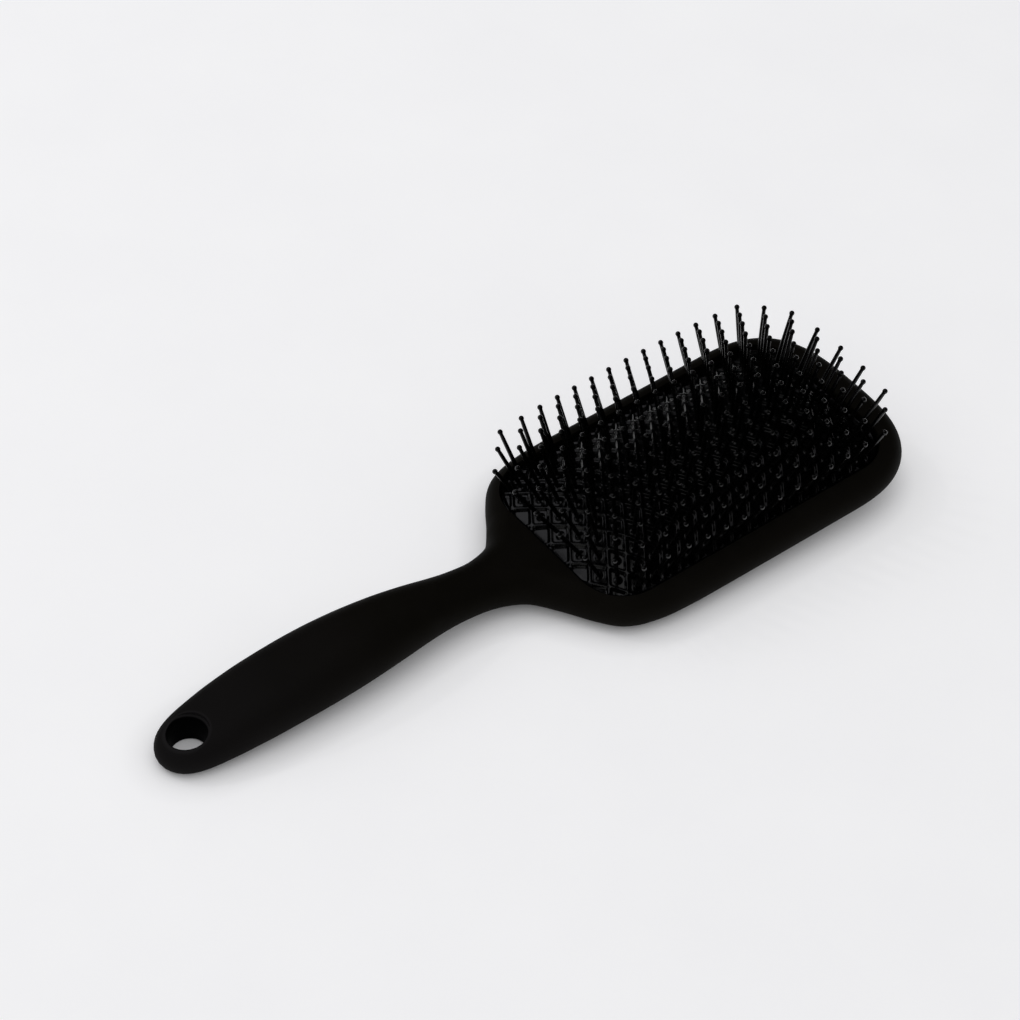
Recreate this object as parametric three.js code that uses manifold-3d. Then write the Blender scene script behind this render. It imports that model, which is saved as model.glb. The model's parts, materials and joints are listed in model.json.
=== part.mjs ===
// Paddle brush: a two-part shell, a rubber air cushion, its clamping frame and rows of ball-tipped pins.
//
// Everything is drawn in the pad's own frame, in millimetres: x runs along the brush towards the head's
// far end, y across it, z out of the pad, and the origin is the middle of the pin field. The finished
// brush is then tipped slightly, as it lies on its back on a flat surface, with that surface at z = 0.
import * as THREE from 'three';
import { mergeVertices } from 'three/addons/utils/BufferGeometryUtils.js';
import Module from 'manifold-3d';

const wasm = await Module();
wasm.setup();

// ---- Driving dimensions -------------------------------------------------------------------------

const REST_TILT = THREE.MathUtils.degToRad(3.15); // the far end of the head is lifted by this angle
const REST_HEIGHT = 20.1; // origin of the pad's frame above the surface that the brush lies on
const FIT_GAP = 0.3; // clearance left between neighbouring pieces

// The body is a core line in plan, swept by a half-round edge of radius `halfThickness`.
const CORE_EDGE = [ // x and half-width of the core, from the tail to the start of the straight sides
  [-177.7, 0], [-176.2, 3.0], [-172, 5.1], [-162, 5.8], [-148, 5.15], [-134, 4.55], [-121, 3.8],
  [-108, 2.65], [-95, 1.3], [-83, 1.2], [-73, 2.0], [-62.8, 5.9], [-55.3, 14.45], [-50.3, 21.85],
  [-45.3, 27.5], [-37, 30.1], [-26, 30.9],
];
const HEAD_CORE_HALF_WIDTH = 30.9;
const HEAD_END_START = 30; // where the straight sides run into the rounded far end
const HEAD_END_REACH = 27.4;
const HEAD_END_POWER = 3.2; // superellipse power of the far end
const MID_HEIGHT = [
  [-177, -6.9], [-153, -4.55], [-126, -3.65], [-99, -4.6], [-72, -8.6], [-45, -11.8], [58, -11.8],
];
const HALF_THICKNESS = [
  [-178, 4.2], [-170, 4.7], [-160, 5.8], [-148, 7.1], [-126, 8.0], [-99, 7.5], [-82, 6.3],
  [-60, 6.1], [-45, 6.0], [58, 6.0],
];
const BACK_CROWN = 1.2; // how far the back of the head bulges at its middle line
const CROWN_RISE = [-55, -30]; // where the bulge begins, along x
const CROWN_FALL = [35, 57]; // and where it ends
const HANDLE_WALL = 2.2;
const HANDLE_CAVITY = { start: -158, end: -80, steps: 9 };
const HANG_HOLE = { x: -172.2, radius: 5.5, lipRadius: 6.3, lipDepth: 0.9 };

const PAD = { halfLength: 53.0, halfWidth: 30.8, cornerRadius: 13.9 }; // the opening for the cushion
// The cushion's face: a dome over the whole opening, cut short by a flat ledge along the edge.
const DOME = { rim: -8.7, height: 9.2, lengthPower: 5.5, widthPower: 2.35, ledge: -7.4 };
// Grid lines of the dome's surface, as shares of the pad's half-length and half-width.
const DOME_GRID = { columns: [1.03, 0.94, 0.84, 0.7, 0.45], lines: [1.03, 0.85, 0.6, 0.3] };
const RUBBER = 1.5; // thickness of the cushion's skin
const LIP_UNDERSIDE = -9.3; // underside of the shell's lip over the cushion's flange
const FLANGE = { reach: 2.3, top: -9.6, bottom: -11.0 };
const CLAMP_FRAME = { inner: -1.5, outer: 2.3, top: -11.3, bottom: -12.3 };
const CHAMBER = { reach: 2.8, floor: -15.9 };
const VENT = { radius: 0.7, length: 12 }; // the air hole between two rows of pins

const ROWS = 13;
const ROW_SPACING = 4.53;
const PIN_STEP = 3.17; // half the spacing of the pins in a row: neighbouring rows are staggered by it
const LAST_STEP = 30; // the lattice has columns 0 to LAST_STEP
const PIN = { length: 15.9, radius: 0.62, ballRadius: 0.8, root: -2.8 };
const RUNNER = { top: -2.1, bottom: -3.3, halfWidth: 1.1, overhang: 0.9 };
const SLOT = { top: 3, bottom: -6, halfWidth: 1.0, overhang: 2.0 }; // cut in the rubber for a row of pins
const BAR_BENDS = [-45, -40, -30, 30, 40, 45]; // where a row's bar bends to follow the dome, along x

// ---- Curves and solids --------------------------------------------------------------------------

// A smooth curve through [position, value] stations, as a function of position.
function profile(stations) {
  const slopeAt = (i) => {
    const before = stations[Math.max(i - 1, 0)];
    const after = stations[Math.min(i + 1, stations.length - 1)];
    return (after[1] - before[1]) / (after[0] - before[0]);
  };
  return (x) => {
    const clamped = THREE.MathUtils.clamp(x, stations[0][0], stations.at(-1)[0]);
    const next = Math.max(1, stations.findIndex((station) => station[0] >= clamped));
    const [x0, y0] = stations[next - 1];
    const [x1, y1] = stations[next];
    const span = x1 - x0;
    const t = (clamped - x0) / span;
    const rise = (2 * t - 3) * t * t;
    return y0 * (1 + rise) - y1 * rise
      + span * t * (1 - t) * ((1 - t) * slopeAt(next - 1) - t * slopeAt(next));
  };
}

// A closed solid from loose triangles, each three [x, y, z] corners; triangles with no area are dropped.
function solidFromTriangles(triangles) {
  const geometry = new THREE.BufferGeometry();
  geometry.setAttribute('position', new THREE.Float32BufferAttribute(triangles.flat(2), 3));
  return solidFromGeometry(geometry);
}

function solidFromGeometry(source) {
  const geometry = source.index ? source.toNonIndexed() : source.clone();
  geometry.deleteAttribute('normal');
  geometry.deleteAttribute('uv');
  const merged = mergeVertices(geometry, 1e-4);
  const kept = [];
  const corners = merged.index.array;
  for (let i = 0; i < corners.length; i += 3) {
    const [a, b, c] = corners.slice(i, i + 3);
    if (a !== b && b !== c && c !== a) kept.push(a, b, c);
  }
  return new wasm.Manifold(new wasm.Mesh({
    numProp: 3,
    vertProperties: new Float32Array(merged.attributes.position.array),
    triVerts: new Uint32Array(kept),
  }));
}

function geometryFromSolid(solid) {
  const { vertProperties, triVerts } = solid.getMesh();
  const geometry = new THREE.BufferGeometry();
  geometry.setAttribute('position', new THREE.BufferAttribute(vertProperties, 3));
  geometry.setIndex(new THREE.BufferAttribute(triVerts, 1));
  geometry.computeVertexNormals();
  return geometry;
}

// Grid lines on both sides of 0, from the positive ones, largest first.
const mirrored = (values) => [...values.map((value) => -value), 0, ...[...values].reverse()];

const quad = (a, b, c, d) => [[a, b, c], [a, c, d]];

// Skin between rings of equally many points, closed at both ends by fans to the rings' centres, or to
// `tip` at the last ring.
function loft(rings, tip) {
  const triangles = [];
  const count = rings[0].length;
  for (let k = 0; k + 1 < rings.length; k++) {
    for (let i = 0; i < count; i++) {
      const j = (i + 1) % count;
      triangles.push(...quad(rings[k][i], rings[k][j], rings[k + 1][j], rings[k + 1][i]));
    }
  }
  const centreOf = (ring) => [0, 1, 2]
    .map((axis) => ring.reduce((sum, point) => sum + point[axis], 0) / count);
  const fan = (ring, centre, flip) => {
    ring.forEach((point, i) => {
      const next = ring[(i + 1) % count];
      triangles.push(flip ? [centre, next, point] : [centre, point, next]);
    });
  };
  fan(rings[0], centreOf(rings[0]), true);
  fan(rings.at(-1), tip ?? centreOf(rings.at(-1)), false);
  return solidFromTriangles(triangles);
}

// ---- Body ---------------------------------------------------------------------------------------

const midHeight = profile(MID_HEIGHT);
const halfThickness = profile(HALF_THICKNESS);

// The core line round the whole body, counter-clockwise from the tail along the -y side, with normals.
function bodyOutline() {
  const handle = new THREE.CatmullRomCurve3(CORE_EDGE.map(([x, y]) => new THREE.Vector3(x, y, 0)), false,
    'centripetal').getPoints(3 * (CORE_EDGE.length - 1)).map((point) => [point.x, point.y]);
  handle[0][1] = 0;
  const endSteps = 12;
  const headEnd = [];
  for (let i = 0; i <= endSteps; i++) {
    const angle = (Math.PI / 2) * (i / endSteps);
    headEnd.push([
      HEAD_END_START + HEAD_END_REACH * Math.sin(angle) ** (2 / HEAD_END_POWER),
      HEAD_CORE_HALF_WIDTH * Math.max(Math.cos(angle), 0) ** (2 / HEAD_END_POWER),
    ]);
  }
  headEnd.at(-1)[1] = 0;
  const half = [...handle, ...headEnd];
  const loop = [...half.map(([x, y]) => [x, -y]), ...half.slice(1, -1).reverse()];
  return loop.map(([x, y], i) => {
    const before = loop.at(i - 1);
    const after = loop[(i + 1) % loop.length];
    const along = new THREE.Vector2(after[0] - before[0], after[1] - before[1]).normalize();
    return { x, y, nx: along.y, ny: -along.x };
  });
}

const OUTLINE = bodyOutline();

const backCrown = (x) => BACK_CROWN * THREE.MathUtils.smoothstep(x, ...CROWN_RISE)
  * (1 - THREE.MathUtils.smoothstep(x, ...CROWN_FALL));

// One half of the body, solid: side +1 is the front half, with the pad, and side -1 the back half.
function bodyHalf(side) {
  const edgeSteps = 4;
  const ringPoint = ({ x, y, nx, ny }, angle) => {
    const radius = halfThickness(x);
    const reach = radius * Math.cos(angle);
    const rise = FIT_GAP / 2 + (radius - FIT_GAP / 2) * Math.sin(angle);
    return [x + reach * nx, y + reach * ny, midHeight(x) + side * rise];
  };
  const rings = [];
  for (let k = 0; k <= edgeSteps; k++) {
    rings.push(OUTLINE.map((point) => ringPoint(point, (Math.PI / 2) * (k / edgeSteps))));
  }
  const triangles = [];
  const add = (a, b, c, d) => {
    triangles.push(...(side > 0 ? quad(a, b, c, d) : quad(a, d, c, b)));
  };
  const count = OUTLINE.length;
  for (let k = 0; k < edgeSteps; k++) {
    for (let i = 0; i < count; i++) {
      const j = (i + 1) % count;
      add(rings[k][i], rings[k][j], rings[k + 1][j], rings[k + 1][i]);
    }
  }
  // Faces across the body, from the -y side to the +y side: the outer face and the seam face.
  const across = (ring, i, columns) => columns.map((f) => {
    const low = ring[i];
    const high = ring[(count - i) % count];
    const crown = side < 0 ? backCrown(low[0]) * (1 - f * f) : 0;
    return [low[0], low[1] + ((high[1] - low[1]) * (f + 1)) / 2, low[2] + side * crown];
  });
  const outerColumns = side > 0 ? [-1, 1] : [-1, -0.5, 0, 0.5, 1];
  for (let i = 0; i < count / 2; i++) {
    const [outer, nextOuter] = [i, i + 1].map((place) => across(rings.at(-1), place, outerColumns));
    for (let c = 0; c + 1 < outer.length; c++) add(outer[c], nextOuter[c], nextOuter[c + 1], outer[c + 1]);
    const [seam, nextSeam] = [i, i + 1].map((place) => across(rings[0], place, [-1, 1]));
    add(seam[0], seam[1], nextSeam[1], nextSeam[0]);
  }
  return solidFromTriangles(triangles);
}

// The hollow inside the handle, shared by both halves.
function handleCavity() {
  const sides = 12;
  const rings = [];
  for (let k = 0; k <= HANDLE_CAVITY.steps; k++) {
    const x = THREE.MathUtils.lerp(HANDLE_CAVITY.start, HANDLE_CAVITY.end, k / HANDLE_CAVITY.steps);
    const edge = OUTLINE.find((point) => point.x >= x);
    const high = halfThickness(x) - HANDLE_WALL;
    const wide = high + Math.abs(edge.y);
    rings.push(Array.from({ length: sides }, (_, i) => {
      const angle = (2 * Math.PI * i) / sides;
      return [x, wide * Math.cos(angle), midHeight(x) + high * Math.sin(angle)];
    }));
  }
  return loft(rings);
}

// A cutter for the hang hole: a straight bore that opens out to a rounded lip at both faces.
function hangHoleCutter() {
  const { x, radius, lipRadius, lipDepth } = HANG_HOLE;
  const top = midHeight(x) + halfThickness(x);
  const bottom = midHeight(x) - halfThickness(x);
  const lipSteps = 3;
  const lip = (face, outward) => Array.from({ length: lipSteps + 1 }, (_, i) => {
    const t = i / lipSteps;
    const widen = (lipRadius - radius) * (1 - Math.sqrt(1 - t * t));
    return new THREE.Vector2(radius + widen, face + outward * (t - 1) * lipDepth);
  });
  const clear = 3;
  const outline = [
    new THREE.Vector2(0, bottom - clear),
    new THREE.Vector2(lipRadius, bottom - clear),
    ...lip(bottom, -1).reverse(),
    ...lip(top, 1),
    new THREE.Vector2(lipRadius, top + clear),
    new THREE.Vector2(0, top + clear),
  ];
  const geometry = new THREE.LatheGeometry(outline, 20);
  geometry.rotateX(Math.PI / 2);
  geometry.translate(x, 0, 0);
  return solidFromGeometry(geometry);
}

// ---- Pad openings -------------------------------------------------------------------------------

// A prism over the pad's rounded rectangle, grown by `offset`.
function padPrism(offset, bottom, top) {
  const radius = PAD.cornerRadius + offset;
  const straightX = PAD.halfLength - PAD.cornerRadius;
  const straightY = PAD.halfWidth - PAD.cornerRadius;
  const cornerSteps = 6;
  const plan = [];
  [[1, -1], [1, 1], [-1, 1], [-1, -1]].forEach(([sx, sy], corner) => {
    for (let i = 0; i <= cornerSteps; i++) {
      const angle = (Math.PI / 2) * (corner - 1 + i / cornerSteps);
      plan.push([sx * straightX + radius * Math.cos(angle), sy * straightY + radius * Math.sin(angle)]);
    }
  });
  return loft([bottom, top].map((height) => plan.map(([x, y]) => [x, y, height])));
}

function domeHeight(x, y) {
  const along = 1 - Math.min(Math.abs(x / PAD.halfLength), 1) ** DOME.lengthPower;
  const across = 1 - Math.min(Math.abs(y / PAD.halfWidth), 1) ** DOME.widthPower;
  return Math.max(DOME.rim + DOME.height * along * across, DOME.ledge);
}

function frontShell() {
  return bodyHalf(1)
    .subtract(padPrism(0, -20, 0))
    .subtract(padPrism(CHAMBER.reach, -20, LIP_UNDERSIDE))
    .subtract(handleCavity())
    .subtract(hangHoleCutter());
}

// Everything above the surface that the brush lies on: it gives the back its resting flats.
function aboveRestingSurface() {
  const size = 500;
  const geometry = new THREE.BoxGeometry(size, size, size);
  geometry.translate(0, 0, size / 2 - REST_HEIGHT);
  geometry.rotateY(REST_TILT);
  return solidFromGeometry(geometry);
}

function backShell() {
  return bodyHalf(-1)
    .subtract(padPrism(CHAMBER.reach, CHAMBER.floor, 0))
    .subtract(handleCavity())
    .subtract(hangHoleCutter())
    .intersect(aboveRestingSurface());
}

function clampFrame() {
  const { inner, outer, top, bottom } = CLAMP_FRAME;
  return padPrism(outer, bottom, top).subtract(padPrism(inner, bottom - 1, top + 1));
}

// ---- Pins and cushion ---------------------------------------------------------------------------

// How far a pin standing at x, y leans: the run of its axis along x and y for each unit of height.
function pinLean(x, y) {
  const u = x / 50;
  const v = y / 27;
  return [
    u * (0.26 - 0.278 * u ** 2 + 0.779 * u ** 4 - 0.2 * v ** 2),
    v * (0.769 - 0.223 * v ** 2 - 0.592 * u ** 2 + 0.386 * u ** 2 * v ** 2),
  ];
}

const rowY = (row) => ((ROWS - 1) / 2 - row) * ROW_SPACING;

// The lattice columns of a row: rows alternate, and the first and last rows lose a pin at each end.
function rowPins(row) {
  const first = row % 2 === 1 ? 1 : (row === 0 || row === ROWS - 1 ? 2 : 0);
  const pins = [];
  for (let column = first; column <= LAST_STEP - first; column += 2) {
    const x = (column - LAST_STEP / 2) * PIN_STEP;
    const base = new THREE.Vector3(x, rowY(row), domeHeight(x, rowY(row)));
    const axis = new THREE.Vector3(...pinLean(x, rowY(row)), 1).normalize();
    pins.push({ base, axis });
  }
  return pins;
}

// A slender pin with a ball tip, leaning along its axis out of the rubber.
function pinSolid({ base, axis }) {
  const sides = 4;
  const across = new THREE.Vector3(0, 1, 0).cross(axis).normalize();
  const up = axis.clone().cross(across);
  const ring = (height, radius) => Array.from({ length: sides }, (_, i) => {
    const angle = (2 * Math.PI * i) / sides;
    return base.clone().addScaledVector(axis, height)
      .addScaledVector(across, radius * Math.cos(angle))
      .addScaledVector(up, radius * Math.sin(angle)).toArray();
  });
  return loft([
    ring(PIN.root, PIN.radius),
    ring(PIN.length - PIN.ballRadius, PIN.radius),
    ring(PIN.length, PIN.ballRadius),
  ], base.clone().addScaledVector(axis, PIN.length + PIN.ballRadius).toArray());
}

// A bar under a row of pins that follows the dome and leans as the row leans. Its heights are measured
// along the pins from the rubber's surface.
function rowBar(pins, { halfWidth, bottom, top, overhang }) {
  const leanY = Math.atan2(pins[0].axis.y, pins[0].axis.z);
  const sideways = [0, Math.cos(leanY), -Math.sin(leanY)];
  const outward = [0, Math.sin(leanY), Math.cos(leanY)];
  const section = (x, y) => [[-1, bottom], [1, bottom], [1, top], [-1, top]]
    .map(([side, height]) => [x, y, domeHeight(x, y)].map((value, axis) => value
      + side * halfWidth * sideways[axis] + height * outward[axis]));
  const start = pins[0].base.x - overhang;
  const end = pins.at(-1).base.x + overhang;
  const bends = BAR_BENDS.filter((x) => x > start + 1 && x < end - 1);
  return loft([start, ...bends, end].map((x) => section(x, pins[0].base.y)));
}

// A strip of pins on the runner that carries them behind the rubber.
const pinStrip = (pins) => pins.reduce((strip, pin) => strip.add(pinSolid(pin)), rowBar(pins, RUNNER));

// The solid under the dome's surface lowered by `depth`, down to `bottom`, on a grid over the whole pad.
function domeSolid(depth, bottom) {
  const columns = mirrored(DOME_GRID.columns);
  const lines = mirrored(DOME_GRID.lines);
  const point = (i, j, height) => {
    const x = columns[i] * PAD.halfLength;
    const y = lines[j] * PAD.halfWidth;
    return [x, y, height ?? domeHeight(x, y) - depth];
  };
  const triangles = [];
  const lastColumn = columns.length - 1;
  const lastLine = lines.length - 1;
  const wall = (i, j, nextI, nextJ) => {
    triangles.push(...quad(point(i, j, bottom), point(nextI, nextJ, bottom), point(nextI, nextJ),
      point(i, j)));
  };
  for (let i = 0; i < lastColumn; i++) {
    for (let j = 0; j < lastLine; j++) {
      triangles.push(...quad(point(i, j), point(i + 1, j), point(i + 1, j + 1), point(i, j + 1)));
      triangles.push(...quad(point(i, j, bottom), point(i, j + 1, bottom), point(i + 1, j + 1, bottom),
        point(i + 1, j, bottom)));
    }
    wall(i, 0, i + 1, 0);
    wall(i + 1, lastLine, i, lastLine);
  }
  for (let j = 0; j < lastLine; j++) {
    wall(0, j + 1, 0, j);
    wall(lastColumn, j, lastColumn, j + 1);
  }
  return solidFromTriangles(triangles);
}

function cushion() {
  const deep = FLANGE.bottom - 2;
  const dome = domeSolid(0, FLANGE.bottom).intersect(padPrism(-FIT_GAP, FLANGE.bottom, 5));
  const chamber = domeSolid(RUBBER, deep).intersect(padPrism(-FIT_GAP - RUBBER, deep, 5));
  let solid = dome.add(padPrism(FLANGE.reach, FLANGE.bottom, FLANGE.top)).subtract(chamber);
  for (let row = 0; row < ROWS; row++) solid = solid.subtract(rowBar(rowPins(row), SLOT));
  return solid.subtract(ventCutter());
}

function ventCutter() {
  const geometry = new THREE.CylinderGeometry(VENT.radius, VENT.radius, VENT.length, 8);
  geometry.rotateX(Math.PI / 2);
  geometry.translate(0, ROW_SPACING / 2, 0);
  return solidFromGeometry(geometry);
}

// ---- Assembly -----------------------------------------------------------------------------------

const softTouchBlack = new THREE.MeshStandardMaterial({ color: 0x151414, roughness: 0.62, metalness: 0 });
const rubberBlack = new THREE.MeshStandardMaterial({ color: 0x0b0b0d, roughness: 0.34, metalness: 0 });
const nylonBlack = new THREE.MeshStandardMaterial({ color: 0x090909, roughness: 0.22, metalness: 0 });
const frameBlack = new THREE.MeshStandardMaterial({ color: 0x1b1b1c, roughness: 0.5, metalness: 0 });

const brush = new THREE.Group();
const tipped = new THREE.Group();
tipped.rotation.y = -REST_TILT;
tipped.position.z = REST_HEIGHT;
brush.add(tipped);

function addPiece(name, solid, material) {
  const mesh = new THREE.Mesh(geometryFromSolid(solid), material);
  mesh.name = name;
  tipped.add(mesh);
}

addPiece('front_shell', frontShell(), softTouchBlack);
addPiece('back_shell', backShell(), softTouchBlack);
addPiece('cushion', cushion(), rubberBlack);
addPiece('clamp_frame', clampFrame(), frameBlack);
for (let row = 0; row < ROWS; row++) {
  const pins = rowPins(row);
  const middle = Math.ceil(pins.length / 2);
  const number = String(row + 1).padStart(2, '0');
  addPiece(`pin_strip_${number}_handle_end`, pinStrip(pins.slice(0, middle)), nylonBlack);
  addPiece(`pin_strip_${number}_far_end`, pinStrip(pins.slice(middle)), nylonBlack);
}

// Centre the brush on x = 0, so that the origin is the middle of the footprint.
const bounds = new THREE.Box3().setFromObject(brush, true);
tipped.position.x = -(bounds.min.x + bounds.max.x) / 2;

export default brush;
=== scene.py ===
"""Paddle brush: detailed surfaces, materials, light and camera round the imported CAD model.

Shapes are drawn in the pad's own frame, in millimetres: x runs along the brush towards the head's far
end, y across it, z out of the pad, and the origin is the middle of the pin field. The frame's place in
the scene comes from the model's joints, and the dimensions repeat those of the CAD source.
"""

import json
import math

import bpy
import numpy as np
from mathutils import Matrix, Vector


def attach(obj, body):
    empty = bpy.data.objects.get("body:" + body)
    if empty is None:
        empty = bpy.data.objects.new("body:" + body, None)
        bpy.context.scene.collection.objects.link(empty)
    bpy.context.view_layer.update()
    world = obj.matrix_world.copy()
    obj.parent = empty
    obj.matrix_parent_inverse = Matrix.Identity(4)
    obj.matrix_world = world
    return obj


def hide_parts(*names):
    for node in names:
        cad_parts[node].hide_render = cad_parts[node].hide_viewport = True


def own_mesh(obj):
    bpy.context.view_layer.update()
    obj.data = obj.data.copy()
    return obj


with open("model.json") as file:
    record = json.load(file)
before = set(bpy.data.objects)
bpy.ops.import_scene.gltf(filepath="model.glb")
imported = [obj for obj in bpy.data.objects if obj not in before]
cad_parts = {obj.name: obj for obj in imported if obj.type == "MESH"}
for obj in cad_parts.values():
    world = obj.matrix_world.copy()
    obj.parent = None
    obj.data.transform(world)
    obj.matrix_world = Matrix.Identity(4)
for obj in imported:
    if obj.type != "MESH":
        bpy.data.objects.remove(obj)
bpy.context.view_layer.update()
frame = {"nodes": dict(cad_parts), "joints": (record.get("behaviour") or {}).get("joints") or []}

MM = 0.001
scene = bpy.context.scene

# ---- Dimensions shared with the CAD model, in millimetres ---------------------------------------

CORE_EDGE = [  # x and half-width of the body's core, from the tail to the straight sides
    (-177.7, 0), (-176.2, 3.0), (-172, 5.1), (-162, 5.8), (-148, 5.15), (-134, 4.55), (-121, 3.8),
    (-108, 2.65), (-95, 1.3), (-83, 1.2), (-73, 2.0), (-62.8, 5.9), (-55.3, 14.45), (-50.3, 21.85),
    (-45.3, 27.5), (-37, 30.1), (-26, 30.9),
]
HEAD_CORE_HALF_WIDTH = 30.9
HEAD_END_START = 30.0
HEAD_END_REACH = 27.4
HEAD_END_POWER = 3.2
MID_HEIGHT = [
    (-177, -6.9), (-153, -4.55), (-126, -3.65), (-99, -4.6), (-72, -8.6), (-45, -11.8), (58, -11.8),
]
HALF_THICKNESS = [
    (-178, 4.2), (-170, 4.7), (-160, 5.8), (-148, 7.1), (-126, 8.0), (-99, 7.5), (-82, 6.3),
    (-60, 6.1), (-45, 6.0), (58, 6.0),
]
BACK_CROWN = 1.2
CROWN_RISE = (-55, -30)  # where the back's bulge begins, along x
CROWN_FALL = (35, 57)  # and where it ends
HANG_HOLE_X = -172.2
HANG_HOLE_RADIUS = 5.5
HANG_HOLE_LIP_RADIUS = 6.3
HANG_HOLE_LIP_DEPTH = 0.9
HANG_HOLE_TAPER = 0.6

PAD_HALF_LENGTH = 53.0
PAD_HALF_WIDTH = 30.8
PAD_CORNER_RADIUS = 13.9
DOME_RIM = -8.7
DOME_HEIGHT = 9.2
DOME_LENGTH_POWER = 5.5
DOME_WIDTH_POWER = 2.35
LEDGE = -7.4  # the flat border that cuts the dome short
RUBBER = 1.5
LIP_UNDERSIDE = -9.3
FLANGE_REACH = 2.3
FLANGE_TOP = -9.6
FLANGE_BOTTOM = -11.0
CHAMBER_REACH = 2.8
CHAMBER_FLOOR = -15.9
FIT_GAP = 0.3

ROWS = 13
ROW_SPACING = 4.53
PIN_STEP = 3.17
LAST_STEP = 30
PIN_LENGTH = 15.9
PIN_BALL_RADIUS = 0.8
RUNNER_TOP = -2.1
RUNNER_BOTTOM = -3.3
RUNNER_HALF_WIDTH = 1.1
RUNNER_OVERHANG = 0.9

FLOOR_GLOW = 0.355  # the floor's own light, which keeps the shadows pale
GLOW_REACH = 0.010  # how near, in metres, a piece dims that light
WORLD_GLOW = 0.41

CAMERA_ANGLES = (-36.49, 46.32, -0.283)  # azimuth, elevation and roll in the pad's frame, in degrees
CAMERA_DISTANCE = 888.63
CAMERA_AIM = (-52.21, -17.03)  # the point looked at, along the picture's right and up
SENSOR_WIDTH = 36
LENS = 108.92

PRESS_JOINT = "cushion_press"
MIDDLE_ROW_JOINT = "pin_row_07_tilt"

# ---- The pad's frame in the scene ---------------------------------------------------------------

joints = {joint["name"]: joint for joint in frame["joints"]}
pad_x = Vector(joints[MIDDLE_ROW_JOINT]["axis"]).normalized()
pad_z = -Vector(joints[PRESS_JOINT]["axis"]).normalized()
pad_y = pad_z.cross(pad_x)
pad_axes = Matrix((pad_x, pad_y, pad_z)).transposed()
pad_origin = Vector(joints[MIDDLE_ROW_JOINT]["pos_m"]) - (DOME_RIM + DOME_HEIGHT) * MM * pad_z
PAD_FRAME = Matrix.Translation(pad_origin) @ pad_axes.to_4x4()


def to_scene(points):
    """Points of the pad's frame, in millimetres, as scene points in metres."""
    return np.asarray(points, float) * MM @ np.array(pad_axes).T + np.array(pad_origin)


# ---- Mesh tools ---------------------------------------------------------------------------------


def mesh_object(name, points, faces, material=None):
    """A mesh object from scene points in metres."""
    mesh = bpy.data.meshes.new(name)
    mesh.from_pydata(np.asarray(points, float).tolist(), [], faces)
    mesh.update()
    obj = bpy.data.objects.new(name, mesh)
    scene.collection.objects.link(obj)
    if material is not None:
        mesh.materials.append(material)
    return obj


def shade(obj, sharp_angle):
    """Smooth shading, with edges over sharp_angle degrees left sharp."""
    obj.data.shade_smooth()
    obj.data.set_sharp_from_angle(angle=math.radians(sharp_angle))


def cut(obj, cutter):
    """Cuts the cutter's solid out of obj and removes the cutter."""
    modifier = obj.modifiers.new("cut", "BOOLEAN")
    modifier.operation = "DIFFERENCE"
    modifier.solver = "MANIFOLD"
    modifier.object = cutter
    depsgraph = bpy.context.evaluated_depsgraph_get()
    made = bpy.data.meshes.new_from_object(obj.evaluated_get(depsgraph))
    obj.modifiers.remove(modifier)
    obj.data = made
    bpy.data.objects.remove(cutter)


def ring_faces(rings, count):
    """Quads between consecutive closed rings of `count` points each."""
    faces = []
    for k in range(rings - 1):
        for i in range(count):
            j = (i + 1) % count
            faces.append((k * count + i, k * count + j, (k + 1) * count + j, (k + 1) * count + i))
    return faces


def closed_loft(rings):
    """Points and faces of a closed skin through rings of equally many points, flat at both ends."""
    count = len(rings[0])
    faces = ring_faces(len(rings), count)
    faces.append(tuple(range(count))[::-1])
    faces.append(tuple(range((len(rings) - 1) * count, len(rings) * count)))
    return np.concatenate(rings), faces


def profile(stations):
    """A smooth curve through (position, value) stations, as a function of position."""
    xs, ys = np.array(stations, float).T
    before = np.maximum(np.arange(len(xs)) - 1, 0)
    after = np.minimum(np.arange(len(xs)) + 1, len(xs) - 1)
    slopes = (ys[after] - ys[before]) / (xs[after] - xs[before])

    def value(x):
        x = np.clip(x, xs[0], xs[-1])
        k = np.clip(np.searchsorted(xs, x), 1, len(xs) - 1)
        span = xs[k] - xs[k - 1]
        t = (x - xs[k - 1]) / span
        rise = (2 * t - 3) * t * t
        swing = (1 - t) * slopes[k - 1] - t * slopes[k]
        return ys[k - 1] * (1 + rise) - ys[k] * rise + span * t * (1 - t) * swing

    return value


def smoothstep(x, start, end):
    t = np.clip((x - start) / (end - start), 0, 1)
    return t * t * (3 - 2 * t)


# ---- Materials ----------------------------------------------------------------------------------


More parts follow.
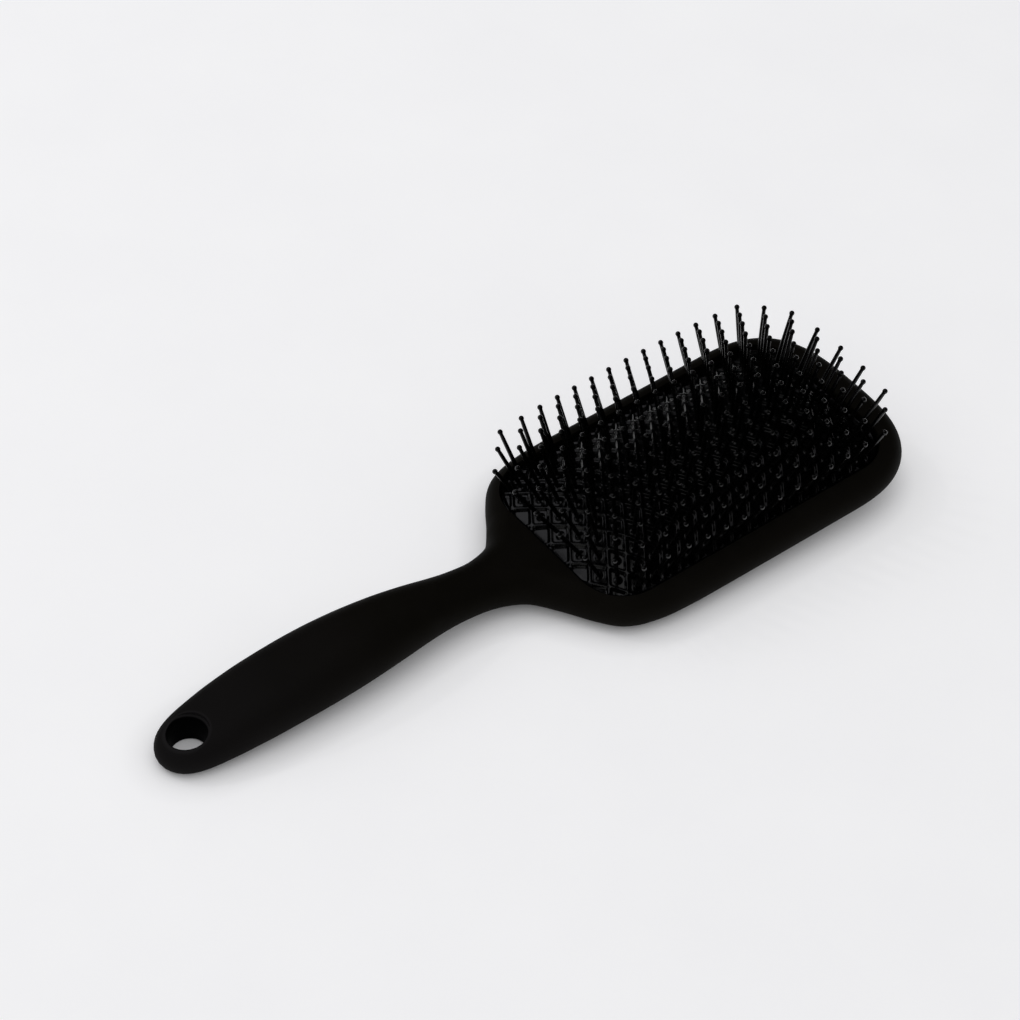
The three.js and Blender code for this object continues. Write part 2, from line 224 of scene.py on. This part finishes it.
class Nodes:
    """A material's node tree, with short calls for the nodes that every material here uses."""

    def __init__(self, name):
        self.material = bpy.data.materials.new(name)
        self.material.use_nodes = True
        self.tree = self.material.node_tree
        self.shader = self.tree.nodes["Principled BSDF"]
        self.place = self.tree.nodes.new("ShaderNodeTexCoord").outputs["Object"]

    def link(self, output, target):
        self.tree.links.new(output, target)

    def noise(self, size_mm, detail, roughness, stretch=None):
        """Noise with features of about size_mm."""
        place = self.place
        if stretch is not None:
            mapping = self.tree.nodes.new("ShaderNodeMapping")
            mapping.inputs["Scale"].default_value = stretch
            self.link(place, mapping.inputs["Vector"])
            place = mapping.outputs["Vector"]
        node = self.tree.nodes.new("ShaderNodeTexNoise")
        node.inputs["Scale"].default_value = 1 / (size_mm * MM)
        node.inputs["Detail"].default_value = detail
        node.inputs["Roughness"].default_value = roughness
        self.link(place, node.inputs["Vector"])
        return node.outputs["Fac"]

    def remap(self, value, low, high, new_low, new_high):
        node = self.tree.nodes.new("ShaderNodeMapRange")
        sockets = ("From Min", "From Max", "To Min", "To Max")
        for socket, number in zip(sockets, (low, high, new_low, new_high)):
            node.inputs[socket].default_value = number
        self.link(value, node.inputs["Value"])
        return node.outputs["Result"]

    def mix(self, factor, first, second):
        """A blend of two colours, each a tuple or a node's output."""
        node = self.tree.nodes.new("ShaderNodeMix")
        node.data_type = "RGBA"
        for socket, colour in (("A", first), ("B", second)):
            if isinstance(colour, tuple):
                node.inputs[socket].default_value = (*colour, 1)
            else:
                self.link(colour, node.inputs[socket])
        self.link(factor, node.inputs["Factor"])
        return node.outputs["Result"]

    def bump(self, height, depth_mm, normal=None):
        node = self.tree.nodes.new("ShaderNodeBump")
        node.inputs["Distance"].default_value = depth_mm * MM
        self.link(height, node.inputs["Height"])
        if normal is not None:
            self.link(normal, node.inputs["Normal"])
        return node.outputs["Normal"]

    def set(self, **values):
        """Numbers on the shader's own sockets."""
        for socket, number in values.items():
            self.shader.inputs[socket.replace("_", " ")].default_value = number


def from_hole_axis(n):
    """Each point's distance from the axis of the hang hole, in metres."""
    mapping = n.tree.nodes.new("ShaderNodeMapping")
    mapping.vector_type = "TEXTURE"
    mapping.inputs["Location"].default_value = pad_origin
    mapping.inputs["Rotation"].default_value = pad_axes.to_euler()
    n.link(n.place, mapping.inputs["Vector"])
    flat = n.tree.nodes.new("ShaderNodeVectorMath")
    flat.operation = "MULTIPLY"
    n.link(mapping.outputs["Vector"], flat.inputs[0])
    flat.inputs[1].default_value = (1, 1, 0)
    away = n.tree.nodes.new("ShaderNodeVectorMath")
    away.operation = "DISTANCE"
    n.link(flat.outputs["Vector"], away.inputs[0])
    away.inputs[1].default_value = (HANG_HOLE_X * MM, 0, 0)
    return away.outputs["Value"]


def soft_touch_material():
    """Matt black coating: fine grain, faint marks, a paler tail, a painted highlight round the hang hole's
    rim and painted shade in its bore.
    """
    n = Nodes("soft_touch_black")
    tone = n.remap(n.noise(26, 4, 0.6), 0.35, 0.7, 0, 1)
    colour = n.mix(tone, (0.0045, 0.0039, 0.0027), (0.0061, 0.0054, 0.0043))
    axes = n.tree.nodes.new("ShaderNodeSeparateXYZ")
    n.link(n.place, axes.inputs["Vector"])
    tail = n.remap(axes.outputs["X"], -0.05, -0.12, 0, 0.8)
    colour = n.mix(tail, colour, (0.0100, 0.0092, 0.0097))
    away = from_hole_axis(n)
    # Painted highlight: the ring round the hang hole's lip is made paler in the colour.
    ring = n.remap(away, (HANG_HOLE_LIP_RADIUS + 0.7) * MM, HANG_HOLE_LIP_RADIUS * MM, 0, 0.8)
    colour = n.mix(ring, colour, (0.0150, 0.0140, 0.0145))
    # Painted shade: the bore of the hang hole is darkened in the colour.
    painted_bore_shade = n.remap(away, (HANG_HOLE_RADIUS + 0.35) * MM, (HANG_HOLE_RADIUS + 0.05) * MM, 0, 1)
    n.link(n.mix(painted_bore_shade, colour, (0.0006, 0.0006, 0.0008)), n.shader.inputs["Base Color"])
    n.link(n.remap(n.noise(9, 5, 0.6), 0.3, 0.7, 0.50, 0.62), n.shader.inputs["Roughness"])
    ripple = n.bump(n.noise(2.4, 2, 0.5), 0.012)
    n.link(n.bump(n.noise(0.16, 2, 0.6), 0.006, ripple), n.shader.inputs["Normal"])
    n.set(Specular_IOR_Level=0.02)
    return n.material


def rubber_material():
    """Glossy black rubber with a slightly uneven moulded face and a little dust in the polish."""
    n = Nodes("cushion_rubber")
    tone = n.remap(n.noise(7, 4, 0.6), 0.35, 0.7, 0, 1)
    n.link(n.mix(tone, (0.0003, 0.0003, 0.0004), (0.0008, 0.0008, 0.0010)), n.shader.inputs["Base Color"])
    n.link(n.remap(n.noise(1.6, 4, 0.6), 0.3, 0.7, 0.14, 0.22), n.shader.inputs["Roughness"])
    swell = n.bump(n.noise(3.0, 2, 0.5), 0.02)
    n.link(n.bump(n.noise(0.22, 2, 0.6), 0.004, swell), n.shader.inputs["Normal"])
    n.set(Specular_IOR_Level=0.32)
    return n.material


def nylon_material():
    """Polished black nylon, very slightly uneven from the mould."""
    n = Nodes("pin_nylon")
    tone = n.remap(n.noise(3, 3, 0.5), 0.35, 0.7, 0, 1)
    n.link(n.mix(tone, (0.0004, 0.0004, 0.0004), (0.0010, 0.0009, 0.0009)), n.shader.inputs["Base Color"])
    n.link(n.remap(n.noise(0.9, 4, 0.6), 0.3, 0.7, 0.11, 0.17), n.shader.inputs["Roughness"])
    n.link(n.bump(n.noise(0.5, 2, 0.5), 0.004), n.shader.inputs["Normal"])
    n.set(Specular_IOR_Level=0.42)
    return n.material


def frame_material():
    """Satin moulded plastic of the hidden clamping frame, with flow lines."""
    n = Nodes("frame_plastic")
    tone = n.remap(n.noise(12, 4, 0.6), 0.35, 0.7, 0, 1)
    n.link(n.mix(tone, (0.010, 0.010, 0.011), (0.016, 0.016, 0.017)), n.shader.inputs["Base Color"])
    n.link(n.remap(n.noise(2.0, 4, 0.6), 0.3, 0.7, 0.40, 0.55), n.shader.inputs["Roughness"])
    n.link(n.bump(n.noise(0.4, 3, 0.6, (0.2, 1, 1)), 0.02), n.shader.inputs["Normal"])
    return n.material


def floor_material():
    """Pale sheet, faintly mottled, with a glow that fades close to the brush."""
    n = Nodes("pale_floor")
    tone = n.remap(n.noise(60, 5, 0.65), 0.3, 0.7, 0, 1)
    n.link(n.mix(tone, (0.80, 0.80, 0.81), (0.83, 0.83, 0.835)), n.shader.inputs["Base Color"])
    n.link(n.bump(n.noise(5, 4, 0.6), 0.05), n.shader.inputs["Normal"])
    n.set(Roughness=0.85, Specular_IOR_Level=0.1)
    cover = n.tree.nodes.new("ShaderNodeAmbientOcclusion")
    cover.samples = 8
    cover.inputs["Distance"].default_value = GLOW_REACH
    n.link(n.remap(cover.outputs["AO"], 0, 1, 0, FLOOR_GLOW), n.shader.inputs["Emission Strength"])
    n.shader.inputs["Emission Color"].default_value = (0.99, 0.99, 1.0, 1)
    return n.material


# ---- Body ---------------------------------------------------------------------------------------

mid_height = profile(MID_HEIGHT)
half_thickness = profile(HALF_THICKNESS)


def front_height(x):
    return mid_height(x) + half_thickness(x)


def centripetal_curve(points, steps):
    """The centripetal Catmull-Rom curve through points, with `steps` places in each span."""
    points = np.array(points, float)
    ends = (2 * points[0] - points[1], 2 * points[-1] - points[-2])
    padded = np.vstack([ends[0], points, ends[1]])
    curve = []
    for k in range(len(points) - 1):
        p0, p1, p2, p3 = padded[k:k + 4]
        d0, d1, d2 = (math.sqrt(np.linalg.norm(b - a)) for a, b in ((p0, p1), (p1, p2), (p2, p3)))
        start = ((p1 - p0) / d0 - (p2 - p0) / (d0 + d1) + (p2 - p1) / d1) * d1
        end = ((p2 - p1) / d1 - (p3 - p1) / (d1 + d2) + (p3 - p2) / d2) * d1
        for t in np.arange(steps) / steps:
            curve.append(p1 + start * t + (3 * (p2 - p1) - 2 * start - end) * t ** 2
                         + (2 * (p1 - p2) + start + end) * t ** 3)
    return np.array([*curve, points[-1]])


def body_outline(spacing, softening):
    """The core line round the body, counter-clockwise from the tail along the -y side, and its normals."""
    handle = centripetal_curve(CORE_EDGE, 24)
    angle = np.linspace(0, math.pi / 2, 160)
    head_end = np.column_stack([
        HEAD_END_START + HEAD_END_REACH * np.sin(angle) ** (2 / HEAD_END_POWER),
        HEAD_CORE_HALF_WIDTH * np.maximum(np.cos(angle), 0) ** (2 / HEAD_END_POWER),
    ])
    half = np.vstack([handle, head_end])
    length = np.concatenate([[0], np.cumsum(np.linalg.norm(np.diff(half, axis=0), axis=1))])
    steps = round(length[-1] / spacing)
    even = np.linspace(0, length[-1], steps + 1)
    half = np.column_stack([np.interp(even, length, half[:, axis]) for axis in (0, 1)])
    loop = np.vstack([half * (1, -1), half[-2:0:-1]])
    reach = int(3 * softening / spacing)
    shifts = np.arange(-reach, reach + 1)
    weights = np.exp(-0.5 * (shifts * spacing / softening) ** 2)
    weights /= weights.sum()
    loop = sum(weight * np.roll(loop, shift, axis=0) for weight, shift in zip(weights, shifts))
    along = np.roll(loop, -1, axis=0) - np.roll(loop, 1, axis=0)
    along /= np.linalg.norm(along, axis=1)[:, None]
    return loop, np.column_stack([along[:, 1], -along[:, 0]])


def body_solid():
    """The whole body as one skin: the core line swept by a half-round edge, with a crowned back."""
    edge_steps = 28
    columns = 24
    loop, normal = body_outline(1.0, 1.2)
    count = len(loop)
    half = count // 2
    middle = mid_height(loop[:, 0])
    radius = half_thickness(loop[:, 0])
    rings = []
    for angle in np.linspace(-math.pi / 2, math.pi / 2, edge_steps + 1):
        plan = loop + (radius * math.cos(angle))[:, None] * normal
        rings.append(np.column_stack([plan, middle + radius * math.sin(angle)]))
    points = list(np.concatenate(rings))
    faces = ring_faces(edge_steps + 1, count)

    def cap(ring, side):
        """The face across the body from one ring: the back for side -1 and the front for side 1."""
        first = ring * count
        edge = rings[ring]
        rows = [[first] * (columns + 1)]
        for i in range(1, half):
            row = [first + i]
            low, high = edge[i], edge[count - i]
            crown = 0
            if side < 0:
                crown = BACK_CROWN * smoothstep(low[0], *CROWN_RISE) * (1 - smoothstep(low[0], *CROWN_FALL))
            for c in range(1, columns):
                f = 2 * c / columns - 1
                rise = side * crown * (1 - f * f) ** 2
                points.append([low[0], low[1] + (high[1] - low[1]) * (f + 1) / 2, low[2] + rise])
                row.append(len(points) - 1)
            row.append(first + count - i)
            rows.append(row)
        rows.append([first + half] * (columns + 1))
        for row, following in zip(rows, rows[1:]):
            for c in range(columns):
                corners = [row[c], following[c], following[c + 1], row[c + 1]]
                corners = [corner for k, corner in enumerate(corners) if corner != corners[k - 1]]
                if len(corners) > 2:
                    faces.append(corners if side > 0 else corners[::-1])

    cap(0, -1)
    cap(edge_steps, 1)
    return to_scene(points), faces


def pad_plan(offset, corner_steps=28):
    """The pad opening's rounded rectangle, grown by offset."""
    radius = PAD_CORNER_RADIUS + offset
    centre_x = PAD_HALF_LENGTH - PAD_CORNER_RADIUS
    centre_y = PAD_HALF_WIDTH - PAD_CORNER_RADIUS
    plan = []
    for corner, (side_x, side_y) in enumerate(((1, -1), (1, 1), (-1, 1), (-1, -1))):
        for angle in (corner - 1 + np.linspace(0, 1, corner_steps + 1)) * math.pi / 2:
            x = side_x * centre_x + radius * math.cos(angle)
            plan.append((x, side_y * centre_y + radius * math.sin(angle)))
    return np.array(plan)


def pad_pocket_cutter(lip_round=0.55):
    """The pocket for the cushion: the chamber, the opening through the lip, and the lip's rounded edge."""

    def level(offset, height):
        plan = pad_plan(offset)
        return np.column_stack([plan, np.full(len(plan), height)])

    def under_face(offset, depth):
        plan = pad_plan(offset)
        return np.column_stack([plan, front_height(plan[:, 0]) - depth])

    rings = [
        level(CHAMBER_REACH, CHAMBER_FLOOR), level(CHAMBER_REACH, LIP_UNDERSIDE), level(0, LIP_UNDERSIDE),
    ]
    for angle in np.linspace(0, math.pi / 2, 7):
        rings.append(under_face(lip_round * (1 - math.cos(angle)), lip_round * (1 - math.sin(angle))))
    rings.append(under_face(lip_round + 0.3, -0.6))
    rings.append(under_face(lip_round + 0.3, -8))
    points, faces = closed_loft(rings)
    return mesh_object("pocket_cutter", to_scene(points), faces)


def hang_hole_cutter():
    """The hang hole: a bore that narrows a little towards the back, with a rounded lip at both faces."""
    steps = 8
    sides = 96
    clear = 3
    top = float(front_height(HANG_HOLE_X))
    bottom = float(2 * mid_height(HANG_HOLE_X)) - top
    outline = []
    for t in np.linspace(1, 0, steps + 1):
        widen = (HANG_HOLE_LIP_RADIUS - HANG_HOLE_RADIUS) * (1 - math.sqrt(1 - t * t))
        outline.append((HANG_HOLE_RADIUS + widen, (1 - t) * HANG_HOLE_LIP_DEPTH))
    lower = [(radius - HANG_HOLE_TAPER, bottom + depth) for radius, depth in outline]
    upper = [(radius, top - depth) for radius, depth in reversed(outline)]
    outline = [(HANG_HOLE_LIP_RADIUS, bottom - clear), *lower, *upper, (HANG_HOLE_LIP_RADIUS, top + clear)]
    angle = np.arange(sides) * 2 * math.pi / sides
    circle = np.column_stack([np.cos(angle), np.sin(angle)])
    rings = [np.column_stack([radius * circle + (HANG_HOLE_X, 0), np.full(sides, height)])
             for radius, height in outline]
    points, faces = closed_loft(rings)
    return mesh_object("hole_cutter", to_scene(points), faces)


def resting_surface_cutter():
    """Everything below the surface that the brush lies on."""
    size = 0.5
    plan = [(-size, -size), (size, -size), (size, size), (-size, size)]
    rings = [np.array([(x, y, height) for x, y in plan]) for height in (-size, 0.0)]
    points, faces = closed_loft(rings)
    return mesh_object("rest_cutter", points, faces)


def make_body(material):
    points, faces = body_solid()
    body = mesh_object("soft_touch_body", points, faces, material)
    for cutter in (pad_pocket_cutter(), hang_hole_cutter(), resting_surface_cutter()):
        cut(body, cutter)
    shade(body, 32)
    weighted = body.modifiers.new("even_normals", "WEIGHTED_NORMAL")
    weighted.keep_sharp = True
    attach(body, "root")
    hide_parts("front_shell", "back_shell")


# ---- Pins ---------------------------------------------------------------------------------------


def dome_height(x, y):
    along = 1 - np.minimum(np.abs(x / PAD_HALF_LENGTH), 1) ** DOME_LENGTH_POWER
    across = 1 - np.minimum(np.abs(y / PAD_HALF_WIDTH), 1) ** DOME_WIDTH_POWER
    return np.maximum(DOME_RIM + DOME_HEIGHT * along * across, LEDGE)


def pin_lean(x, y):
    """How far a pin leans: the run of its axis along x and y for each unit of height."""
    u = x / 50
    v = y / 27
    along = u * (0.26 - 0.278 * u ** 2 + 0.779 * u ** 4 - 0.2 * v ** 2)
    sideways = v * (0.769 - 0.223 * v ** 2 - 0.592 * u ** 2 + 0.386 * u ** 2 * v ** 2)
    return along, sideways


def first_column(row):
    """The lattice column of a row's first pin; the outermost rows lose a pin at each end."""
    if row % 2 == 1:
        return 1
    return 2 if row in (0, ROWS - 1) else 0


def row_pins(row):
    """(base, axis) of each pin in a row."""
    y = ((ROWS - 1) / 2 - row) * ROW_SPACING
    pins = []
    for column in range(first_column(row), LAST_STEP - first_column(row) + 1, 2):
        x = (column - LAST_STEP / 2) * PIN_STEP
        axis = np.array([*pin_lean(x, y), 1.0])
        pins.append((np.array([x, y, dome_height(x, y)]), axis / np.linalg.norm(axis)))
    return pins


def pin_profile():
    """(radius, height) of a pin along its axis: the root, a slightly tapered shaft and a ball tip."""
    outline = [(0.0, -2.8), (0.62, -2.8), (0.67, -2.6), (0.67, -0.6), (0.67, 0.6), (0.66, 3), (0.64, 7),
               (0.62, 11), (0.6, 13.6), (0.575, 14.6), (0.565, 15.0), (0.58, 15.25)]
    neck = math.asin(0.61 / PIN_BALL_RADIUS)
    for angle in np.linspace(neck, math.pi, 12)[:-1]:
        outline.append((PIN_BALL_RADIUS * math.sin(angle), PIN_LENGTH - PIN_BALL_RADIUS * math.cos(angle)))
    outline.append((0.0, PIN_LENGTH + PIN_BALL_RADIUS))
    return outline


PIN_PROFILE = pin_profile()


def pin_mesh(base, axis, sides=16):
    """Points and faces of one pin."""
    across = np.cross([0, 1, 0], axis)
    across /= np.linalg.norm(across)
    up = np.cross(axis, across)
    angle = np.arange(sides) * 2 * math.pi / sides
    spoke = np.outer(np.cos(angle), across) + np.outer(np.sin(angle), up)
    rings = [base + height * axis + radius * spoke for radius, height in PIN_PROFILE[1:-1]]
    points = np.concatenate([*rings, [base + PIN_PROFILE[0][1] * axis], [base + PIN_PROFILE[-1][1] * axis]])
    faces = ring_faces(len(rings), sides)
    last = (len(rings) - 1) * sides
    bottom, top = len(points) - 2, len(points) - 1
    for i in range(sides):
        j = (i + 1) % sides
        faces.append((bottom, j, i))
        faces.append((top, last + i, last + j))
    return points, faces


def runner_mesh(pins):
    """The rounded bar behind the rubber that carries a strip of pins, following the dome."""
    sections = 12
    lean = math.atan2(pins[0][1][1], pins[0][1][2])
    sideways = np.array([0, math.cos(lean), -math.sin(lean)])
    outward = np.array([0, math.sin(lean), math.cos(lean)])
    height = (RUNNER_TOP + RUNNER_BOTTOM) / 2
    thickness = (RUNNER_TOP - RUNNER_BOTTOM) / 2
    angle = np.arange(sections) * 2 * math.pi / sections
    round_off = 0.35
    across = np.sign(np.cos(angle)) * np.abs(np.cos(angle)) ** round_off * RUNNER_HALF_WIDTH
    rise = np.sign(np.sin(angle)) * np.abs(np.sin(angle)) ** round_off * thickness + height
    y = pins[0][0][1]
    rings = []
    for x in np.linspace(pins[0][0][0] - RUNNER_OVERHANG, pins[-1][0][0] + RUNNER_OVERHANG, 25):
        centre = np.array([x, y, dome_height(x, y)])
        rings.append(centre + np.outer(across, sideways) + np.outer(rise, outward))
    return closed_loft(rings)


def make_pin_strips(material):
    for row in range(ROWS):
        pins = row_pins(row)
        middle = math.ceil(len(pins) / 2)
        number = f"{row + 1:02d}"
        for end, part in (("handle_end", pins[:middle]), ("far_end", pins[middle:])):
            points, faces = [], []
            total = 0
            for some_points, some_faces in [runner_mesh(part), *(pin_mesh(*pin) for pin in part)]:
                faces.extend(tuple(total + corner for corner in face) for face in some_faces)
                points.append(some_points)
                total += len(some_points)
            strip = mesh_object(f"pins_{number}_{end}", to_scene(np.concatenate(points)), faces, material)
            shade(strip, 50)
            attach(strip, f"pin_row_{number}")
            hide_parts(f"pin_strip_{number}_{end}")


# ---- Cushion ------------------------------------------------------------------------------------

RIB_HALF_SPACING = 1 / math.hypot(1 / PIN_STEP, 1 / ROW_SPACING)  # from a pin to each rib beside it
RIB_RISE = 0.12  # top of the ribs above the dome
POCKET_DEPTH = 0.55  # floor of the pockets below the dome
RIB_FLAT = 0.16  # half-width of a rib's top
RIB_FOOT = 0.72  # half-width of a rib at the floor
BORDER_CENTRE = 1.0  # the border rib's middle line, inside the pad opening
COLLAR_RADIUS = 1.25
COLLAR_HEIGHT = 0.35


def inside_distance(x, y):
    """Distance inwards from the pad opening's edge."""
    qx = np.abs(x) - (PAD_HALF_LENGTH - PAD_CORNER_RADIUS)
    qy = np.abs(y) - (PAD_HALF_WIDTH - PAD_CORNER_RADIUS)
    outside = np.hypot(np.maximum(qx, 0), np.maximum(qy, 0))
    return PAD_CORNER_RADIUS - outside - np.minimum(np.maximum(qx, qy), 0)


def cushion_relief(x, y):
    """Height of the moulded pattern over the dome: crossed ribs, pockets, a collar at each pin, a border."""
    u = x / PIN_STEP + y / ROW_SPACING
    v = x / PIN_STEP - y / ROW_SPACING
    cell_u = 2 * np.floor(u / 2) + 1
    cell_v = 2 * np.floor(v / 2) + 1
    across = ((u - cell_u) ** 8 + (v - cell_v) ** 8) ** 0.125 * RIB_HALF_SPACING
    from_rib = np.maximum(RIB_HALF_SPACING - across, 0)
    lattice = 1 - smoothstep(from_rib, RIB_FLAT, RIB_FOOT)

    depth = inside_distance(x, y)
    border = 1 - smoothstep(np.abs(depth - BORDER_CENTRE), 0.25, 0.75)
    field = smoothstep(depth, 0.9, 1.1)
    relief = -POCKET_DEPTH + (RIB_RISE + POCKET_DEPTH) * np.maximum(border, lattice * field)

    column = (cell_u + cell_v) / 2 + LAST_STEP / 2
    row = (ROWS - 1) / 2 - (cell_u - cell_v) / 2
    first = np.where(row % 2 == 1, 1, np.where((row == 0) | (row == ROWS - 1), 2, 0))
    pinned = (row >= 0) & (row < ROWS) & (column >= first) & (column <= LAST_STEP - first)
    from_pin = np.hypot(x - (cell_u + cell_v) / 2 * PIN_STEP, y - (cell_u - cell_v) / 2 * ROW_SPACING)
    collar = COLLAR_HEIGHT * (1 - smoothstep(from_pin, 0.55, COLLAR_RADIUS))
    return relief + np.where(pinned, collar, 0)


def pad_grid(columns, lines, gap):
    """A grid over the pad's rounded rectangle, less gap all round: x and y, by line and column."""
    half_length = PAD_HALF_LENGTH - gap
    half_width = PAD_HALF_WIDTH - gap
    radius = PAD_CORNER_RADIUS - gap
    share = np.linspace(-1, 1, lines + 1)
    y = half_width * (0.8 * share + 0.2 * np.sin(share * math.pi / 2))
    over = np.maximum(np.abs(y) - (half_width - radius), 0)
    reach = half_length - radius + np.sqrt(np.maximum(radius ** 2 - over ** 2, 0))
    x = np.outer(reach, np.linspace(-1, 1, columns + 1))
    return x, np.repeat(y[:, None], columns + 1, axis=1)


def grid_faces(lines, columns, first, flip):
    faces = []
    width = columns + 1
    for j in range(lines):
        for i in range(columns):
            a = first + j * width + i
            face = (a, a + 1, a + 1 + width, a + width)
            faces.append(face[::-1] if flip else face)
    return faces


def grid_border(lines, columns, first):
    """The grid's border points in order, counter-clockwise, from its first corner."""
    width = columns + 1
    south = [first + i for i in range(columns)]
    east = [first + j * width + columns for j in range(lines)]
    north = [first + lines * width + i for i in range(columns, 0, -1)]
    west = [first + j * width for j in range(lines, 0, -1)]
    return [*south, *east, *north, *west]


def make_cushion(material):
    columns, lines, coarse = 376, 216, 4
    x, y = pad_grid(columns, lines, FIT_GAP)
    edge_drop = 0.5 * (1 - smoothstep(inside_distance(x, y), FIT_GAP, FIT_GAP + 0.45))
    z = dome_height(x, y) + cushion_relief(x, y) - edge_drop
    top = np.column_stack([x.ravel(), y.ravel(), z.ravel()])
    faces = grid_faces(lines, columns, 0, False)
    fine_border = grid_border(lines, columns, 0)

    # Down the wall, out round the flange and back in underneath.
    points = [top]
    total = len(top)
    outer = top[fine_border]
    straight = np.array([PAD_HALF_LENGTH, PAD_HALF_WIDTH]) - PAD_CORNER_RADIUS
    out = outer[:, :2] - np.clip(outer[:, :2], -straight, straight)
    out /= np.linalg.norm(out, axis=1)[:, None]
    reach = FIT_GAP + FLANGE_REACH
    skirt = [
        (0, FLANGE_TOP + 0.25), (0.25, FLANGE_TOP), (reach - 0.3, FLANGE_TOP), (reach, FLANGE_TOP - 0.3),
        (reach, FLANGE_BOTTOM + 0.3), (reach - 0.3, FLANGE_BOTTOM), (-RUBBER, FLANGE_BOTTOM),
    ]
    before = fine_border
    for offset, height in skirt:
        ring = np.column_stack([outer[:, :2] + offset * out, np.full(len(outer), height)])
        now = list(range(total, total + len(ring)))
        for k, corner in enumerate(before):
            following = (k + 1) % len(before)
            faces.append((corner, now[k], now[following], before[following]))
        points.append(ring)
        total += len(ring)
        before = now

    # The coarser inner face, sewn to the skirt's last ring by fans.
    x, y = pad_grid(columns // coarse, lines // coarse, FIT_GAP + RUBBER)
    z = np.maximum(dome_height(x, y) - RUBBER, FLANGE_BOTTOM + 0.4)
    inner = np.column_stack([x.ravel(), y.ravel(), z.ravel()])
    inner_border = grid_border(lines // coarse, columns // coarse, total)
    faces.extend(grid_faces(lines // coarse, columns // coarse, total, True))
    points.append(inner)
    for k, corner in enumerate(inner_border):
        following = inner_border[(k + 1) % len(inner_border)]
        fine = [before[(coarse * k + step) % len(before)] for step in range(coarse + 1)]
        for step in range(coarse):
            near = corner if step < coarse // 2 else following
            faces.append((fine[step], near, fine[step + 1]))
        faces.append((fine[coarse // 2], corner, following))

    cushion = mesh_object("ribbed_cushion", to_scene(np.concatenate(points)), faces, material)
    shade(cushion, 60)
    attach(cushion, "root")
    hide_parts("cushion")
    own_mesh(cushion)


# ---- Stage, light and camera --------------------------------------------------------------------


def make_floor(material):
    half = 4.0
    corners = [(-half, -half, 0), (half, -half, 0), (half, half, 0), (-half, half, 0)]
    floor = mesh_object("floor", corners, [(0, 1, 2, 3)], material)


def area_light(name, direction, distance, size, radiance, colour):
    """An area light of a given radiance that faces the brush from a direction in the pad's frame."""
    data = bpy.data.lights.new(name, "AREA")
    data.shape = "RECTANGLE"
    data.size, data.size_y = size
    data.energy = radiance * math.pi * size[0] * size[1]
    data.color = colour
    light = bpy.data.objects.new(name, data)
    toward = Vector(direction).normalized()
    light.location = pad_origin + toward * distance
    light.rotation_mode = "QUATERNION"
    light.rotation_quaternion = toward.to_track_quat("Z", "Y")
    scene.collection.objects.link(light)
    return light


def make_lights():
    """The lights: the key, the overhead light and the dome are hidden from reflections."""
    key_side = (-0.40, 0.62, 0.68)
    key = area_light("key", key_side, 1.7, (0.08, 0.08), 48, (1.0, 0.985, 0.96))
    key.visible_glossy = False
    area_light("key_softbox", key_side, 1.7, (1.05, 1.05), 0.95, (0.95, 0.95, 1.0))
    area_light("side_softbox", (-0.85, -0.05, 0.5), 1.9, (0.8, 0.8), 0.6, (1.0, 1.0, 0.98))
    area_light("backdrop", (0.35, 0.92, 0.16), 2.0, (2.4, 0.45), 0.08, (1.0, 1.0, 1.0))
    area_light("ceiling_panel", (-0.05, 0.0, 1.0), 2.2, (0.9, 0.9), 0.85, (0.99, 0.99, 1.0))
    overhead = area_light("overhead", (0.0, 0.05, 1.0), 2.3, (3.2, 3.2), 0.21, (0.99, 0.99, 1.0))
    overhead.visible_glossy = False
    world = bpy.data.worlds.new("studio")
    scene.world = world
    world.use_nodes = True
    background = world.node_tree.nodes["Background"]
    background.inputs["Color"].default_value = (0.99, 0.99, 1.0, 1)
    background.inputs["Strength"].default_value = WORLD_GLOW
    world.cycles_visibility.glossy = False


def make_camera():
    """The camera, aimed at a point in the pad's frame."""
    azimuth, elevation, roll = (math.radians(angle) for angle in CAMERA_ANGLES)
    back = Vector((math.sin(azimuth) * math.cos(elevation), -math.cos(azimuth) * math.cos(elevation),
                   math.sin(elevation)))
    right = Vector((math.cos(azimuth), math.sin(azimuth), 0))
    up = back.cross(right)
    turn = Matrix.Rotation(roll, 3, back)
    right, up = turn @ right, turn @ up
    target = CAMERA_AIM[0] * right + CAMERA_AIM[1] * up
    data = bpy.data.cameras.new("camera")
    data.sensor_width = SENSOR_WIDTH
    data.lens = LENS
    data.clip_start = 0.05
    data.clip_end = 20
    camera = bpy.data.objects.new("camera", data)
    place = Matrix((right, up, back)).transposed().to_4x4()
    place.translation = (target + CAMERA_DISTANCE * back) * MM
    camera.matrix_world = PAD_FRAME @ place
    scene.collection.objects.link(camera)
    scene.camera = camera


def paint_clamp_frame(material):
    """The clamp frame keeps its CAD mesh and only takes a material."""
    materials = frame["nodes"]["clamp_frame"].data.materials
    materials.clear()
    materials.append(material)


scene.view_settings.view_transform = "Standard"
make_body(soft_touch_material())
make_cushion(rubber_material())
make_pin_strips(nylon_material())
paint_clamp_frame(frame_material())
make_floor(floor_material())
make_lights()
make_camera()
